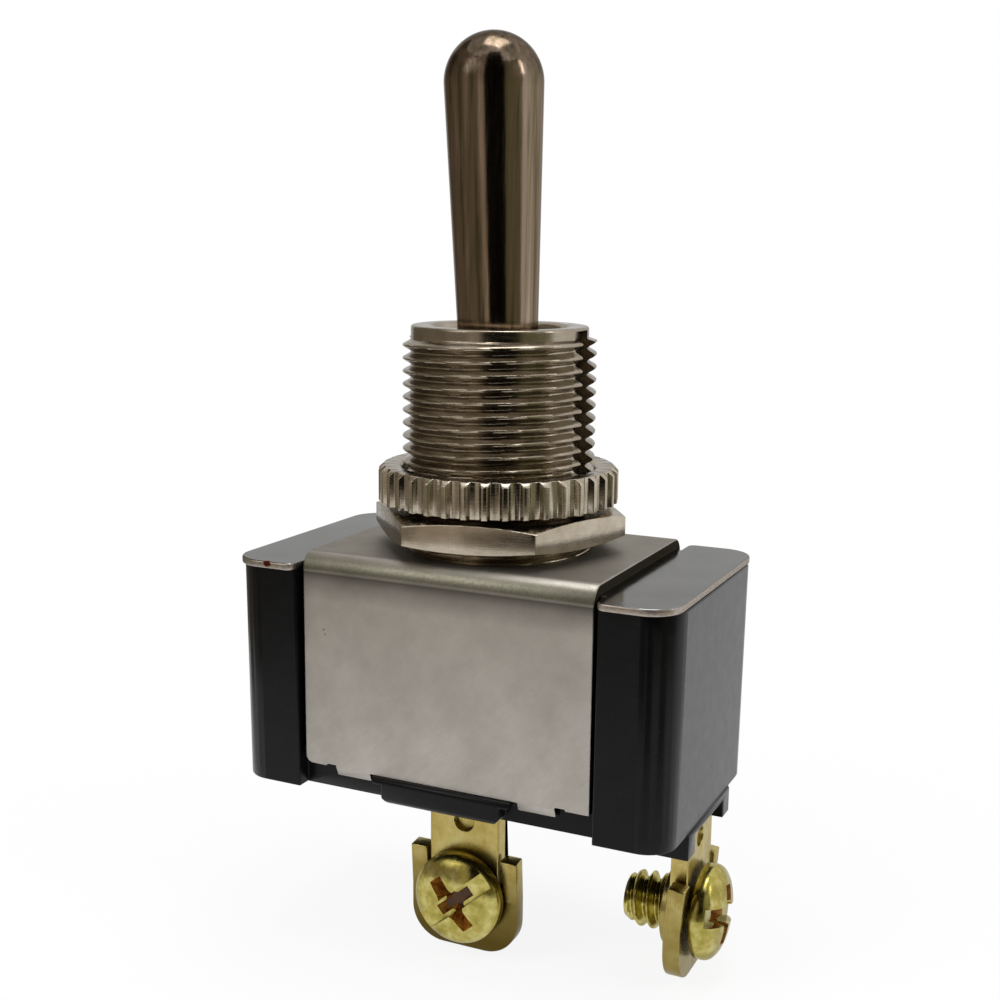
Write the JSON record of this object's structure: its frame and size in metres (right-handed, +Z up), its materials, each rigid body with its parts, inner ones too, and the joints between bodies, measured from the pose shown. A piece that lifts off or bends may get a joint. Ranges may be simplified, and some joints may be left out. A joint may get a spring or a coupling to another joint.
{
  "type": "panel toggle switch",
  "caption": "Panel toggle switch with bat lever, threaded bushing with hexagon and knurled nuts, strapped phenolic body and brass screw terminals.",
  "frame": {"origin": "on the bushing's axis, at the frame strap's top face, which seats on the back of the panel", "axes": "+Z up the bushing towards the lever, +X along the body towards the end terminal and the keyway, -Y towards the centre terminal's face"},
  "size_m": [0.0301, 0.0168, 0.0562],
  "materials": {
    "phenolic": "black moulded phenolic, semi-gloss with fine flow marks",
    "plated_steel": "zinc plated steel, dulled and lightly scratched",
    "bright_steel": "bright plated steel, smooth",
    "nickel": "nickel plated brass, bright",
    "dark_nickel": "nickel plated brass, polished",
    "brass": "stamped brass, lightly tarnished",
    "screw_brass": "turned yellow brass",
    "silver": "fine silver contact metal",
    "spring_steel": "drawn spring wire",
    "fibre": "pressed insulating fibre",
    "nylon": "moulded nylon"
  },
  "bodies": {
    "base": {"housing": "phenolic", "cover_plate": "bright_steel", "insulating_sheet": "fibre", "frame_strap": "plated_steel", "bushing": "nickel", "fulcrum_saddle": "brass", "saddle_rivet": "screw_brass", "fixed_contact": "silver", "center_terminal": "brass", "end_terminal": "brass"},
    "lever_body": {"lever": "dark_nickel", "pivot_pin": "plated_steel", "plunger_spring": "spring_steel"},
    "plunger_body": {"plunger": "nylon"},
    "rocker_body": {"rocker": "brass", "moving_contact": "silver"},
    "hex_nut_body": {"hex_nut": "nickel"},
    "knurled_nut_body": {"knurled_nut": "nickel"},
    "center_screw_body": {"center_screw": "screw_brass"},
    "end_screw_body": {"end_screw": "screw_brass"}
  },
  "joints": [
    {"name": "lever_tilt", "type": "hinge", "parent": "base", "child": "lever_body", "pos_m": [0, 0, 0.008], "axis": [0, 1, 0], "range_deg": [-10.9, 14.1]},
    {"name": "rocker_tilt", "type": "hinge", "parent": "base", "child": "rocker_body", "pos_m": [0, 0, -0.008], "axis": [0, 1, 0], "range_deg": [-7.05, 5.45]},
    {"name": "plunger_slide", "type": "slide", "parent": "lever_body", "child": "plunger_body", "axis": [-0.0279, 0, 0.9996], "range_m": [0, 0.0006], "stiffness_N_per_m": 1200, "springref_m": -0.001, "deforming": ["plunger_spring"]},
    {"name": "hex_nut_turn", "type": "hinge", "parent": "base", "child": "hex_nut_body", "pos_m": [0, 0, 0.00165], "axis": [0, 0, 1], "continuous": true},
    {"name": "knurled_nut_turn", "type": "hinge", "parent": "base", "child": "knurled_nut_body", "pos_m": [0, 0, 0.00403], "axis": [0, 0, 1], "continuous": true},
    {"name": "center_screw_turn", "type": "hinge", "parent": "base", "child": "center_screw_body", "pos_m": [0, -0.0045, -0.02156], "axis": [0, -1, 0], "continuous": true},
    {"name": "end_screw_turn", "type": "hinge", "parent": "base", "child": "end_screw_body", "pos_m": [0.01388, 0, -0.02156], "axis": [1, 0, 0], "continuous": true}
  ],
  "couplings": [
    {"joint": "rocker_tilt", "follows": "lever_tilt", "ratio": -0.5}
  ]
}
